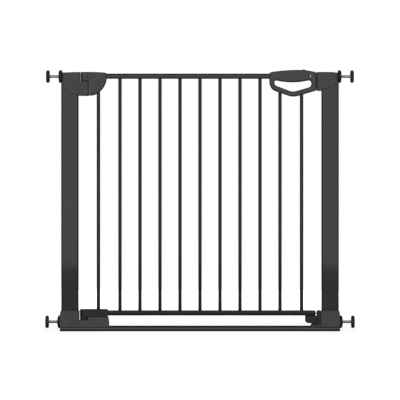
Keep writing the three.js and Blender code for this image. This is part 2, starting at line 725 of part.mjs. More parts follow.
function addPanel() {
  const xs = barPositions();
  const topHoles = xs.slice(1, 9);
  const bottomHoleTop = BOTTOM_RAIL_Z + RAIL_SIZE;
  add('top_rail', 'powder_coat',
    rail(TOP_RAIL_ENDS, TOP_RAIL_Z, topHoles, TOP_RAIL_Z - RAIL_SIZE, TOP_RAIL_Z));
  add('bottom_rail', 'powder_coat',
    rail(BOTTOM_RAIL_ENDS, BOTTOM_RAIL_Z, xs, BOTTOM_RAIL_Z, bottomHoleTop));
  xs.forEach((x, index) => {
    const number = String(index + 1).padStart(2, '0');
    add(`bar_${number}`, 'powder_coat', bar(x, barTop(index)));
  });
  add('gate_hinge_bracket', 'moulded_grey', gateHingeBracket());
  add('gate_hinge_shoe', 'moulded_black', gateHingeShoe());
  add('bottom_catch_shoe', 'moulded_black', bottomCatchShoe());
  add('closer_spring', 'zinc', closerSpring());
  add('upper_hinge_pin', 'zinc', rodZ(HINGE_X, ...UPPER_PIN, PIN_RADIUS));
  add('lower_hinge_pin', 'zinc', rodZ(HINGE_X, ...LOWER_PIN, PIN_RADIUS));
}

// Handle and latch -----------------------------------------------------------------------------

function handleFace() {
  const right = HANDLE_RIGHT;
  const face = outline([201, 730], [
    [200.9, 714, 204.5, 702, 217.5, 696.3],
    [255, 682.9],
    [269.8, 678, 284.5, 682],
    [right - 4.4, 696.2],
    [right, 697.6, right, 702],
    [right, 746.5],
    [right, 749.9, right - 3.3, 750.8],
    [312, 756.5, 285, 756.9],
    [248, 756.9, 208.5, 751],
    [200.6, 750, 200.6, 744],
  ]);
  face.holes.push(outline([215.8, 721], [
    [216.2, 728, 225.5, 726],
    [269.5, 716.6, 312.5, 726.6],
    [323.4, 728.5, 323, 717],
    [322.5, 708.8, 314, 705.8],
    [280, 696],
    [269.5, 692.9, 260, 696],
    [224, 709.6],
    [216, 712.6, 215.8, 721],
  ], THREE.Path));
  return face;
}

// The latch chamber: the bow's top, less the wall all round.
function handleCavity() {
  const left = TOP_RAIL_ENDS[1] + 2;
  const right = HANDLE_RIGHT - HANDLE_WALL - 0.5;
  return outline([left, 731.6], [
    [right, 731.6],
    [right, 748.2],
    [312, 753.8, 285, 754.2],
    [left, 753.8],
  ]);
}

function handleHalf(side) {
  const deep = HANDLE_HALF_DEPTH;
  const whole = alongY(handleFace(), -deep, deep, HANDLE_EDGE, CURVE, 2);
  const split = [side * FIT / 2, side * (deep + 2)].sort((a, b) => a - b);
  const inside = deep - HANDLE_WALL;
  const railHalf = RAIL_SIZE / 2 + FIT;
  const boltHalf = BOLT_HALF + FIT;
  const slotStart = BUTTON_X - BUTTON_HALF_LENGTH - FIT;
  const slotEnd = BUTTON_X + BUTTON_HALF_LENGTH + BOLT_TRAVEL + FIT;
  const slotHalf = BUTTON_HALF_WIDTH + FIT;
  const tools = [
    box(190, TOP_RAIL_ENDS[1] + 3, -railHalf, railHalf, TOP_RAIL_Z - railHalf, TOP_RAIL_Z + railHalf),
    alongY(handleCavity(), -inside, inside),
    box(330, HANDLE_RIGHT + 3, -boltHalf, boltHalf, LATCH_Z - boltHalf, LATCH_Z + boltHalf),
    box(slotStart, slotEnd, -slotHalf, slotHalf, 750, 765),
    rodZ(4 * BAR_PITCH, 670, BAR_TOP_IN_LEFT_BOW + FIT, BAR_HOLE, BAR_SIDES),
    rodZ(END_BAR_X, 670, BAR_TOP_IN_RIGHT_BOW + FIT, BAR_HOLE, BAR_SIDES),
    ...HANDLE_SCREWS.map(([x, z]) => rodY(x, -7, deep + 1, z, HANDLE_SCREW_SHANK + FIT)),
    ...HANDLE_SCREWS.map(([x, z]) => rodY(x, HANDLE_WELL, deep + 1, z, HANDLE_SCREW_HEAD + 0.4)),
  ];
  if (side < 0) {
    const wide = WINDOW_HALF_WIDTH + FIT;
    const tall = WINDOW_HALF_HEIGHT + FIT;
    tools.push(
      box(WINDOW_X - wide, WINDOW_X + wide, -deep - 1, -WINDOW_SEAT, WINDOW_Z - tall, WINDOW_Z + tall));
  }
  return cut(common(whole, box(150, 400, ...split, 600, 800)), ...tools);
}

function handleScrew([x, z]) {
  const under = HANDLE_WELL + FIT;
  const head = rodY(x, under, under + SCREW_HEAD_HEIGHT, z, HANDLE_SCREW_HEAD);
  return join(head, rodY(x, -6.5, under + 1, z, HANDLE_SCREW_SHANK));
}

function indicatorWindow() {
  const wide = WINDOW_HALF_WIDTH;
  const tall = WINDOW_HALF_HEIGHT;
  const lens = roundedRectangle(
    WINDOW_X - wide, WINDOW_X + wide, WINDOW_Z - tall, WINDOW_Z + tall, 0.8);
  const flangeWide = wide + WINDOW_FLANGE;
  const flangeTall = tall + WINDOW_FLANGE;
  const flange = box(
    WINDOW_X - flangeWide, WINDOW_X + flangeWide, -WINDOW_SEAT - 1.2, -WINDOW_SEAT,
    WINDOW_Z - flangeTall, WINDOW_Z + flangeTall);
  return join(alongY(lens, 0.2 - HANDLE_HALF_DEPTH, -WINDOW_SEAT - 0.5, 0.4, 3), flange);
}

function indicatorFlag() {
  const tall = WINDOW_HALF_HEIGHT - 0.5;
  return box(
    WINDOW_X - 13.8, WINDOW_X + 3.6, FIT - WINDOW_SEAT, -BOLT_HALF - FIT,
    WINDOW_Z - tall, WINDOW_Z + tall);
}

function latchBolt() {
  const bolt = new THREE.Shape();
  bolt.moveTo(BOLT_TAIL, -BOLT_HALF);
  bolt.lineTo(BOLT_NOSE - 3, -BOLT_HALF);
  bolt.lineTo(BOLT_NOSE, -BOLT_HALF / 2);
  bolt.lineTo(BOLT_NOSE, BOLT_HALF / 2);
  bolt.lineTo(BOLT_NOSE - 3, BOLT_HALF);
  bolt.lineTo(BOLT_TAIL, BOLT_HALF);
  const body = alongZ(bolt, LATCH_Z - BOLT_HALF, LATCH_Z + BOLT_HALF);
  return cut(body, rodZ(BUTTON_X, LATCH_Z - 0.4, LATCH_Z + 6, PEG_RADIUS + FIT, 16));
}

function thumbSlide() {
  const left = BUTTON_X - BUTTON_HALF_LENGTH;
  const right = BUTTON_X + BUTTON_HALF_LENGTH;
  const face = outline([left, BUTTON_FLANGE_Z], [
    [right, BUTTON_FLANGE_Z],
    [right, BUTTON_TOP - 2.7],
    [right - 3, BUTTON_TOP, BUTTON_X, BUTTON_TOP],
    [left + 3, BUTTON_TOP, left, BUTTON_TOP - 1.9],
  ]);
  const button = alongY(face, -BUTTON_HALF_WIDTH, BUTTON_HALF_WIDTH, 0.6, 5);
  const flange = box(...BUTTON_FLANGE, -7, 7, BUTTON_FLANGE_Z, BUTTON_FLANGE_Z + 1.5);
  const peg = rodZ(BUTTON_X, LATCH_Z, BUTTON_FLANGE_Z + 1, PEG_RADIUS, 16);
  return join(button, flange, peg);
}

function addHandle() {
  add('handle_front_shell', 'moulded_grey', handleHalf(-1));
  add('handle_rear_shell', 'moulded_grey', handleHalf(1));
  HANDLE_SCREWS.forEach((place, index) => {
    add(`handle_screw_${index + 1}`, 'zinc', handleScrew(place));
  });
  add('indicator_window', 'indicator_green', indicatorWindow());
  add('indicator_flag', 'indicator_green', indicatorFlag());
  add('latch_bolt', 'moulded_black', latchBolt());
  add('thumb_slide', 'moulded_grey', thumbSlide());
}

addFrame();
addAdjuster('upper_left', -1, UPPER_AXIS_Z, UPPER_PAD_FACE, upperWheel);
addAdjuster('lower_left', -1, LOWER_AXIS_Z, LOWER_PAD_FACE, lowerWheel);
addAdjuster('upper_right', 1, UPPER_AXIS_Z, UPPER_PAD_FACE, upperWheel);
addAdjuster('lower_right', 1, LOWER_AXIS_Z, LOWER_PAD_FACE, lowerWheel);
addPanel();
addHandle();

export default gate;
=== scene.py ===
import json
import math

import bmesh
import bpy
from mathutils import Matrix, Vector
from mathutils.geometry import tessellate_polygon


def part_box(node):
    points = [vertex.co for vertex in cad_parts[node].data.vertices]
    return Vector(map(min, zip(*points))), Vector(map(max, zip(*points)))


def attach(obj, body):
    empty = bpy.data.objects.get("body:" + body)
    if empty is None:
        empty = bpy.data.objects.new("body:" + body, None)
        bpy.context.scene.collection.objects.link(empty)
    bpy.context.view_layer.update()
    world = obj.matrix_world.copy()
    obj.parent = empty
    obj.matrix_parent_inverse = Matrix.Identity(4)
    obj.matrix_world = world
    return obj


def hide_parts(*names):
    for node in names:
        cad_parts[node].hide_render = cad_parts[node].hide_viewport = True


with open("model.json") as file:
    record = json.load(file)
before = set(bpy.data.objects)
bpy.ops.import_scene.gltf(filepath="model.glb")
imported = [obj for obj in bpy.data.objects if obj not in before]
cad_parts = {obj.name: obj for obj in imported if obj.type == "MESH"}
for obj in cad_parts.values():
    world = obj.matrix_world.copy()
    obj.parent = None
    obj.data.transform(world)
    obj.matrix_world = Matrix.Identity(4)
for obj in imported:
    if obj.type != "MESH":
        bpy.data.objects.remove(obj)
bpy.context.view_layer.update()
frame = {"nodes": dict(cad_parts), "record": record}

MM = 0.001
PLACES = ("upper_left", "lower_left", "upper_right", "lower_right")
BODY_OF = {
    node: body
    for body, nodes in frame["record"]["behaviour"]["bodies"].items()
    for node in nodes
}
SLOT_OF = {row["node"]: row["material_slot"] for row in frame["record"]["subparts"]}
JOINT = {joint["name"]: joint for joint in frame["record"]["behaviour"]["joints"]}
HINGE = Vector(JOINT["panel_swing"]["pos_m"])

THRESHOLD_CORNER = 6 * MM
THRESHOLD_FOOT = 2.5 * MM
BRACKET_EDGE = 5 * MM
SEAM_EDGE = 1.5 * MM
RAIL_CORNER = 4.5 * MM
POST_TOP = 718.8 * MM
COAT = 0.4 * MM

CAMERA_DISTANCE = 6.0
CAMERA_HEIGHT = 0.380
VIEW_WIDTH = 1.160
SENSOR_WIDTH = 36.0


# Camera, light and stage --------------------------------------------------------------------


def add_camera():
    data = bpy.data.cameras.new("camera")
    data.sensor_width = SENSOR_WIDTH
    data.lens = SENSOR_WIDTH * CAMERA_DISTANCE / VIEW_WIDTH
    data.clip_end = 50
    camera = bpy.data.objects.new("camera", data)
    camera.location = (0, -CAMERA_DISTANCE, CAMERA_HEIGHT)
    camera.rotation_euler = (math.pi / 2, 0, 0)
    bpy.context.scene.collection.objects.link(camera)
    bpy.context.scene.camera = camera


def add_softbox(name, place, target, size, radiance, glossy=True, diffuse=True, spread=180):
    """An area light that the camera doesn't see. Its radiance is relative to pure white."""
    data = bpy.data.lights.new(name, "AREA")
    data.spread = math.radians(spread)
    data.shape = "RECTANGLE"
    data.size, data.size_y = size
    data.energy = radiance * math.pi * size[0] * size[1]
    light = bpy.data.objects.new(name, data)
    light.location = place
    towards = Vector(target) - Vector(place)
    light.rotation_euler = towards.to_track_quat("-Z", "Y").to_euler()
    light.visible_camera = False
    light.visible_glossy = glossy
    light.visible_diffuse = diffuse
    bpy.context.scene.collection.objects.link(light)


def add_world():
    """White for what the camera sees behind the object, nearly dark for what lights it."""
    world = bpy.data.worlds.new("studio")
    bpy.context.scene.world = world
    world.use_nodes = True
    nodes, links = world.node_tree.nodes, world.node_tree.links
    nodes.clear()
    seen = nodes.new("ShaderNodeBackground")
    seen.inputs["Color"].default_value = (1, 1, 1, 1)
    dim = nodes.new("ShaderNodeBackground")
    dim.inputs["Color"].default_value = (0.015, 0.015, 0.0153, 1)
    path = nodes.new("ShaderNodeLightPath")
    mix = nodes.new("ShaderNodeMixShader")
    output = nodes.new("ShaderNodeOutputWorld")
    links.new(path.outputs["Is Camera Ray"], mix.inputs["Fac"])
    links.new(dim.outputs[0], mix.inputs[1])
    links.new(seen.outputs[0], mix.inputs[2])
    links.new(mix.outputs[0], output.inputs["Surface"])


def add_floor():
    """A round pale floor. Away from the object it glows, so that it fades into the white."""
    mesh = bpy.data.meshes.new("floor")
    build = bmesh.new()
    bmesh.ops.create_circle(build, cap_ends=True, segments=96, radius=14)
    build.to_mesh(mesh)
    build.free()
    floor = bpy.data.objects.new("floor", mesh)
    bpy.context.scene.collection.objects.link(floor)
    material = bpy.data.materials.new("floor_white")
    material.use_nodes = True
    nodes, links = material.node_tree.nodes, material.node_tree.links
    shader = nodes["Principled BSDF"]
    shader.inputs["Base Color"].default_value = (0.05, 0.05, 0.0502, 1)
    shader.inputs["Roughness"].default_value = 0.9
    shader.inputs["Specular IOR Level"].default_value = 0
    shader.inputs["Emission Color"].default_value = (1, 1, 1, 1)
    place = nodes.new("ShaderNodeTexCoord")
    reach = nodes.new("ShaderNodeVectorMath")
    reach.operation = "LENGTH"
    glow = nodes.new("ShaderNodeMapRange")
    glow.inputs["From Min"].default_value = 0.5
    glow.inputs["From Max"].default_value = 1.4
    glow.inputs["To Min"].default_value = 0.73
    glow.inputs["To Max"].default_value = 1.05
    path = nodes.new("ShaderNodeLightPath")
    seen = nodes.new("ShaderNodeMath")
    seen.operation = "MULTIPLY"
    links.new(place.outputs["Object"], reach.inputs[0])
    links.new(reach.outputs["Value"], glow.inputs["Value"])
    links.new(glow.outputs["Result"], seen.inputs[0])
    links.new(path.outputs["Is Camera Ray"], seen.inputs[1])
    links.new(seen.outputs[0], shader.inputs["Emission Strength"])
    pale = nodes.new("ShaderNodeMapRange")
    pale.inputs["To Min"].default_value = 0.05
    pale.inputs["To Max"].default_value = 0.35
    links.new(path.outputs["Is Camera Ray"], pale.inputs["Value"])
    links.new(pale.outputs["Result"], shader.inputs["Base Color"])
    mesh.materials.append(material)


def add_lights():
    """Softboxes in front that the glossy faces mirror, and fills that only their colour takes."""
    mirrored = {"diffuse": False, "spread": 90}
    fill = {"glossy": False}
    add_softbox("front_softbox", (0, -0.8, 0.71), (0, 0, 0.71), (1.7, 1.1), 0.31, **mirrored)
    add_softbox("front_wash", (0, -0.82, 0.71), (0, 0, 0.71), (1.7, 1.1), 0.35, diffuse=False)
    add_softbox("low_softbox", (0, -0.8, 0.085), (0, 0, 0.085), (1.7, 0.15), 0.125, **mirrored)
    add_softbox("low_wash", (0, -0.82, 0.085), (0, 0, 0.085), (1.7, 0.15), 0.15, diffuse=False)
    add_softbox("floor_strip", (0, -0.12, 0.011), (0, 0, 0.011), (1.7, 0.02), 2.2, diffuse=False)
    add_softbox("low_fill", (0, -1.5, 0.4), (0, 0, 0.03), (2.2, 0.5), 6.8, **fill)
    add_softbox("front_fill", (0, -3.0, 2.2), (0, 0, 0.4), (2.2, 1.8), 7.2, **fill)
    add_softbox("high_rear", (0, 1.7, 2.6), (0, 0, 0.4), (2.4, 1.2), 0.8)
    add_softbox("low_rear", (0, 2.6, 0.9), (0, 0, 0.4), (3.0, 1.6), 4.0, **fill)
    add_softbox("left_side", (-2.6, -0.5, 1.0), (0, 0, 0.4), (1.6, 1.6), 0.4, **fill)
    add_softbox("right_side", (2.6, -0.5, 1.0), (0, 0, 0.4), (1.6, 1.6), 0.3, **fill)


# Materials ----------------------------------------------------------------------------------


class Look:
    """A node material being built: object coordinates in, one glossy shader out."""

    def __init__(self, name):
        self.material = bpy.data.materials.new(name)
        self.material.use_nodes = True
        self.tree = self.material.node_tree
        self.shader = self.tree.nodes["Principled BSDF"]
        self.coordinates = self.tree.nodes.new("ShaderNodeTexCoord").outputs["Object"]

    def noise(self, scale, detail=3.0, stretch=None):
        node = self.tree.nodes.new("ShaderNodeTexNoise")
        node.inputs["Scale"].default_value = scale
        node.inputs["Detail"].default_value = detail
        source = self.coordinates
        if stretch:
            mapping = self.tree.nodes.new("ShaderNodeMapping")
            mapping.inputs["Scale"].default_value = stretch
            self.tree.links.new(source, mapping.inputs["Vector"])
            source = mapping.outputs["Vector"]
        self.tree.links.new(source, node.inputs["Vector"])
        return node.outputs["Fac"]

    def ramp(self, value, stops):
        """Grey or coloured stops over a value: [(position, colour), ...]."""
        node = self.tree.nodes.new("ShaderNodeValToRGB")
        elements = node.color_ramp.elements
        while len(elements) < len(stops):
            elements.new(0.5)
        for element, (position, colour) in zip(elements, stops):
            element.position = position
            element.color = (*colour, 1) if len(colour) == 3 else colour
        self.tree.links.new(value, node.inputs["Fac"])
        return node.outputs["Color"]

    def between(self, value, low, high):
        node = self.tree.nodes.new("ShaderNodeMapRange")
        node.inputs["From Min"].default_value = 0.3
        node.inputs["From Max"].default_value = 0.7
        node.inputs["To Min"].default_value = low
        node.inputs["To Max"].default_value = high
        self.tree.links.new(value, node.inputs["Value"])
        return node.outputs["Result"]

    def bump(self, value, distance, strength=1.0, under=None):
        node = self.tree.nodes.new("ShaderNodeBump")
        node.inputs["Distance"].default_value = distance
        node.inputs["Strength"].default_value = strength
        self.tree.links.new(value, node.inputs["Height"])
        if under:
            self.tree.links.new(under, node.inputs["Normal"])
        return node.outputs["Normal"]

    def feed(self, **sockets):
        for name, source in sockets.items():
            socket = self.shader.inputs[name.replace("_", " ")]
            if isinstance(source, bpy.types.NodeSocket):
                self.tree.links.new(source, socket)
            else:
                socket.default_value = source
        return self.material


def grey(level):
    return (level, level, level * 1.02)


def powder_coat(name, rough_low, rough_high):
    """Semi-gloss powder coating: orange peel, faint clouding and small specks."""
    look = Look(name)
    clouds = look.noise(9, 4)
    peel = look.noise(520, 2)
    specks = look.noise(2600, 1)
    colour = look.ramp(clouds, [(0.3, grey(0.0065)), (0.7, grey(0.0085))])
    rough = look.between(look.noise(60, 5), rough_low, rough_high)
    fine = look.bump(specks, 0.0000005, 0.3)
    normal = look.bump(peel, 0.000002, 0.3, under=fine)
    return look.feed(
        Base_Color=colour, Roughness=rough, Normal=normal, Specular_IOR_Level=0.36
    )


def moulded(name, dark, light, rough_low, rough_high, specular):
    """Spark-eroded moulding grain, with flow clouding and slightly shinier patches."""
    look = Look(name)
    flow = look.noise(22, 5, stretch=(1, 1, 0.6))
    grain = look.noise(1500, 4)
    pits = look.noise(5200, 2)
    colour = look.ramp(flow, [(0.3, grey(dark)), (0.7, grey(light))])
    rough = look.between(look.noise(75, 5), rough_low, rough_high)
    fine = look.bump(pits, 0.00001, 0.5)
    normal = look.bump(grain, 0.00003, 0.7, under=fine)
    return look.feed(
        Base_Color=colour, Roughness=rough, Normal=normal, Specular_IOR_Level=specular
    )


def rubber():
    look = Look("rubber_look")
    dust = look.noise(140, 6)
    skin = look.noise(1900, 5)
    colour = look.ramp(dust, [(0.35, grey(0.006)), (0.75, grey(0.016))])
    rough = look.between(look.noise(300, 4), 0.7, 0.92)
    return look.feed(
        Base_Color=colour,
        Roughness=rough,
        Normal=look.bump(skin, 0.00006, 0.8),
        Specular_IOR_Level=0.25,
    )


def zinc():
    """Bright zinc plating: drawn streaks along the rod and a faint mottled passivation."""
    look = Look("zinc_look")
    streaks = look.noise(700, 4, stretch=(0.04, 1, 1))
    mottle = look.noise(160, 5)
    colour = look.ramp(
        mottle, [(0.3, (0.50, 0.50, 0.49)), (0.55, (0.62, 0.62, 0.61)), (0.75, (0.66, 0.65, 0.6))]
    )
    rough = look.between(streaks, 0.24, 0.42)
    return look.feed(
        Base_Color=colour,
        Roughness=rough,
        Normal=look.bump(streaks, 0.00001, 0.6),
        Metallic=1.0,
    )


def indicator_green():
    look = Look("indicator_green_look")
    cloud = look.noise(180, 4)
    colour = look.ramp(cloud, [(0.3, (0.17, 0.21, 0.175)), (0.7, (0.20, 0.245, 0.205))])
    rough = look.between(look.noise(500, 3), 0.18, 0.3)
    return look.feed(
        Base_Color=colour, Roughness=rough, Normal=look.bump(look.noise(900, 3), 0.00001, 0.5)
    )


LOOKS = {
    "powder_coat": powder_coat("powder_coat_look", 0.085, 0.115),
    "moulded_grey": moulded("moulded_grey_look", 0.030, 0.036, 0.46, 0.6, 0.22),
    "moulded_black": moulded("moulded_black_look", 0.010, 0.014, 0.38, 0.52, 0.2),
    "rubber": rubber(),
    "zinc": zinc(),
    "indicator_green": indicator_green(),
}
BAR_LOOK = powder_coat("bar_coat_look", 0.2, 0.26)


# Shapes: outlines are lists of 2-D points in metres -------------------------------------------


def outline(start, steps, samples=12):
    """Millimetre steps to a loop: 2 numbers are a line, 4 a quadratic curve, 6 a cubic one."""
    points = [Vector(start)]
    for step in steps:
        ends = [points[-1]] + [Vector(step[i : i + 2]) for i in range(0, len(step), 2)]
        count = 1 if len(step) == 2 else samples
        for i in range(1, count + 1):
            points.append(curve_point(ends, i / count))
    if (points[0] - points[-1]).length < 1e-3:
        points.pop()
    return [point * MM for point in points]


def curve_point(ends, t):
    while len(ends) > 1:
        ends = [a.lerp(b, t) for a, b in zip(ends, ends[1:])]
    return ends[0].copy()


def rounded_rectangle(low, high, radius, samples=6, foot=None):
    """A rectangle with rounded corners, the lower two of radius foot where that is given."""
    foot = foot or radius
    corners = [
        (high[0] - foot, low[1] + foot, foot, -0.5),
        (high[0] - radius, high[1] - radius, radius, 0.0),
        (low[0] + radius, high[1] - radius, radius, 0.5),
        (low[0] + foot, low[1] + foot, foot, 1.0),
    ]
    points = []
    for u, v, size, start in corners:
        for i in range(samples + 1):
            angle = math.pi * (start + 0.5 * i / samples)
            points.append(Vector((u + size * math.cos(angle), v + size * math.sin(angle))))
    return points


def circle(radius, centre=(0, 0), count=48, start=0.0, stop=2 * math.pi):
    whole = abs(stop - start - 2 * math.pi) < 1e-6
    total = count if whole else count + 1
    return [
        Vector(centre)
        + radius
        * Vector(
            (
                math.cos(start + (stop - start) * i / count),
                math.sin(start + (stop - start) * i / count),
            )
        )
        for i in range(total)
    ]


def area(loop):
    return sum(a.cross(b) for a, b in zip(loop, loop[1:] + loop[:1])) / 2


def inset(loop, distance, share=None):
    """Each edge moved to its left. Edges that shrink to nothing are dropped, their ends meeting.

    An edge moves by the distance times its share, which share() gives from the edge's middle."""
    count = len(loop)
    if not distance:
        return list(loop)
    following_point = loop[1:] + loop[:1]
    runs = [(b - a).normalized() for a, b in zip(loop, following_point)]
    moves = [
        distance * (share((a + b) / 2) if share else 1) * Vector((-run.y, run.x))
        for a, b, run in zip(loop, following_point, runs)
    ]

    def meeting(a, b):
        start, stop = loop[a] + moves[a], loop[b] + moves[b]
        turn = runs[a].cross(runs[b])
        if abs(turn) > 0.02:
            return start + runs[a] * ((stop - start).cross(runs[b]) / turn)
        return (loop[(a + 1) % count] + moves[a] + loop[b] + moves[b]) / 2

    kept = list(range(count))
    while True:
        corners = {edge: meeting(kept[k - 1], edge) for k, edge in enumerate(kept)}
        shares = []
        for edge, following in zip(kept, kept[1:] + kept[:1]):
            length = (loop[(edge + 1) % count] - loop[edge]).length
            shares.append(((corners[following] - corners[edge]).dot(runs[edge]) / length, edge))
        worst, edge = min(shares)
        if worst >= 0 or len(kept) < 5:
            break
        kept.remove(edge)
    moved = []
    following = kept[0]
    for i in reversed(range(count)):
        if i in corners:
            following = i
        moved.append(corners[following])
    return moved[::-1]


def put(axis, u, v, along):
    return {"x": (along, u, v), "y": (u, along, v), "z": (u, v, along)}[axis]


def prism(loops, axis, low, high, edges=(0, 0), segments=4, share=None):
    """The loops (the first outer, the rest holes) run along an axis, both rims rounded."""
    turned = [
        loop if (area(loop) > 0) == (index == 0) else loop[::-1]
        for index, loop in enumerate(loops)
    ]
    levels = []
    for i in range(segments + 1 if edges[0] else 1):
        angle = math.pi / 2 * i / segments if edges[0] else 0
        levels.append((edges[0] * (1 - math.sin(angle)), low + edges[0] * (1 - math.cos(angle))))
    for i in range(segments + 1 if edges[1] else 1):
        angle = math.pi / 2 * (1 - i / segments) if edges[1] else 0
        levels.append((edges[1] * (1 - math.sin(angle)), high - edges[1] * (1 - math.cos(angle))))
    vertices, faces, first = [], [], []
    for depth_in, along in levels:
        row = []
        for loop in turned:
            row.append(len(vertices))
            vertices += [put(axis, p.x, p.y, along) for p in inset(loop, depth_in, share)]
        first.append(row)
    for lower, upper in zip(first, first[1:]):
        for loop, a, b in zip(turned, lower, upper):
            count = len(loop)
            for i in range(count):
                j = (i + 1) % count
                faces.append((a + i, a + j, b + j, b + i))
    for level, flip in ((0, True), (-1, False)):
        flat = [
            [(*point, 0) for point in inset(loop, levels[level][0], share)] for loop in turned
        ]
        start = first[level][0]
        for triangle in tessellate_polygon(flat):
            corners = [start + corner for corner in triangle]
            faces.append(corners[::-1] if flip else corners)
    return clean_mesh(vertices, faces)


def clean_mesh(vertices, faces, merge=1e-7):
    mesh = bpy.data.meshes.new("piece")
    mesh.from_pydata([tuple(v) for v in vertices], [], [tuple(f) for f in faces])
    build = bmesh.new()
    build.from_mesh(mesh)
    bmesh.ops.remove_doubles(build, verts=build.verts, dist=merge)
    bmesh.ops.recalc_face_normals(build, faces=build.faces)
    build.to_mesh(mesh)
    build.free()
    return mesh


def turned(profile, count=64, ripple=None):
    """A profile of (radius, height) turned about X. It ends on the axis or closes on itself."""
    vertices, faces = [], []
    for i in range(count):
        angle = 2 * math.pi * i / count
        for radius, height in profile:
            r = radius + (ripple(angle, radius, height) if ripple else 0)
            vertices.append((height, r * math.cos(angle), r * math.sin(angle)))
    size = len(profile)
    for i in range(count):
        j = (i + 1) % count
        for k in range(size - 1):
            faces.append((i * size + k, i * size + k + 1, j * size + k + 1, j * size + k))
    mesh = clean_mesh(vertices, faces, 1e-6)
    return mesh


def soften(profile, radius, samples=4):
    """A profile with its inner corners rounded, the two ends left as they are."""
    points = [Vector(point) for point in profile]
    smooth = [points[0]]
    for before, corner, after in zip(points, points[1:], points[2:]):
        reach = min(radius, (before - corner).length * 0.45, (after - corner).length * 0.45)
        start = corner + (before - corner).normalized() * reach
        stop = corner + (after - corner).normalized() * reach
        smooth += [curve_point([start, corner, stop], i / samples) for i in range(samples + 1)]
    return smooth + [points[-1]]


def cylinder(axis, centre, low, high, radius, count=48):
    return prism([circle(radius, centre, count)], axis, low, high)


def block(x, y, z):
    square = [Vector((x[0], y[0])), Vector((x[1], y[0])), Vector((x[1], y[1])), Vector((x[0], y[1]))]
    return prism([square], "z", z[0], z[1])


def combined(mesh, others, operation):
    """The mesh with each of the others cut away, joined on, or kept in common with it."""
    body = bpy.data.objects.new("body", mesh)
    bpy.context.scene.collection.objects.link(body)
    tools = []
    for other in others:
        tool = bpy.data.objects.new("tool", other)
        bpy.context.scene.collection.objects.link(tool)
        modifier = body.modifiers.new("boolean", "BOOLEAN")
        modifier.operation = operation
        modifier.solver = "EXACT"
        modifier.object = tool
        tools.append(tool)
    graph = bpy.context.evaluated_depsgraph_get()
    result = bpy.data.meshes.new_from_object(body.evaluated_get(graph))
    for used in [body, *tools]:
        bpy.data.objects.remove(used)
    return result


def cut(mesh, *tools):
    return combined(mesh, tools, "DIFFERENCE")


def joined(mesh, *others):
    return combined(mesh, others, "UNION")


def common(mesh, other):
    return combined(mesh, [other], "INTERSECT")


def bevelled(mesh, width, segments=3, angle=35):
    """The mesh with its sharp edges rounded."""
    body = bpy.data.objects.new("body", mesh)
    bpy.context.scene.collection.objects.link(body)
    modifier = body.modifiers.new("bevel", "BEVEL")
    modifier.width = width
    modifier.segments = segments
    modifier.limit_method = "ANGLE"
    modifier.angle_limit = math.radians(angle)
    modifier.use_clamp_overlap = True
    graph = bpy.context.evaluated_depsgraph_get()
    result = bpy.data.meshes.new_from_object(body.evaluated_get(graph))
    bpy.data.objects.remove(body)
    return result


def smooth_shading(obj, angle=32):
    mesh = obj.data
    mesh.polygons.foreach_set("use_smooth", [True] * len(mesh.polygons))
    mesh.set_sharp_from_angle(angle=math.radians(angle))
    weigh = obj.modifiers.new("weigh", "WEIGHTED_NORMAL")
    weigh.keep_sharp = True


def add_piece(name, mesh, *nodes):
    """A finished piece that stands for the nodes and moves and is coloured as the first of them."""
    obj = bpy.data.objects.new(name, mesh)
    bpy.context.scene.collection.objects.link(obj)
    mesh.name = name
    mesh.materials.clear()
    mesh.materials.append(LOOKS[SLOT_OF[nodes[0]]])
    smooth_shading(obj)
    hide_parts(*nodes)
    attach(obj, BODY_OF[nodes[0]])
    return obj


# Steel tubes --------------------------------------------------------------------------------


def tube(node, axis, radius, wall, end=None, foot=None, coat=0):
    """An open rectangular tube in its node's box, or run on to end, its cut ends broken slightly."""
    low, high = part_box(node)
    low, high = low - Vector((0, 0, coat)), high + Vector((0, 0, coat))
    foot = foot or radius
    run = "xyz".index(axis)
    across = [i for i in range(3) if i != run]
    outer = rounded_rectangle([low[i] for i in across], [high[i] for i in across], radius, foot=foot)
    inner = rounded_rectangle(
        [low[i] + wall for i in across],
        [high[i] - wall for i in across],
        radius - wall * 0.8,
        foot=foot - wall * 0.8,
    )
    broken = 0.25 * MM
    stop = end or high[run]
    return prism([outer, inner], axis, low[run], stop, (broken, broken), 2)


def add_frame_tubes():
    lower_axis = JOINT["lower_right_wheel"]["pos_m"][2]
    for side, node in ((-1, "left_post"), (1, "right_post")):
        low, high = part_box(node)
        outer = low[0] if side < 0 else high[0]
        span = (outer - 3 * MM, outer + 3 * MM)
        hole = cylinder("x", (0, lower_axis), *span, 4.9 * MM)
        add_piece(f"{node}_tube", cut(tube(node, "z", 4 * MM, 1.5 * MM, POST_TOP), hole), node)
    add_piece("threshold_bar", tube("threshold_tube", "x", THRESHOLD_CORNER, 1.5 * MM, foot=THRESHOLD_FOOT), "threshold_tube")
    for side, node in ((-1, "threshold_end_cap_left"), (1, "threshold_end_cap_right")):
        low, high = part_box(node)
        flange = 2.1 * MM
        ends = (low[0], low[0] + flange) if side < 0 else (high[0] - flange, high[0])
        face = rounded_rectangle(
            (low[1], low[2]), (high[1], high[2]), THRESHOLD_CORNER, foot=THRESHOLD_FOOT
        )
        edges = (0.9 * MM, 0.2 * MM) if side < 0 else (0.2 * MM, 0.9 * MM)
        add_piece(f"{node}_plug", prism([face], "x", *ends, edges), node)


def add_rails():
    for node in ("top_rail", "bottom_rail"):
        add_piece(f"{node}_tube", tube(node, "x", RAIL_CORNER, 1.2 * MM, coat=COAT), node)


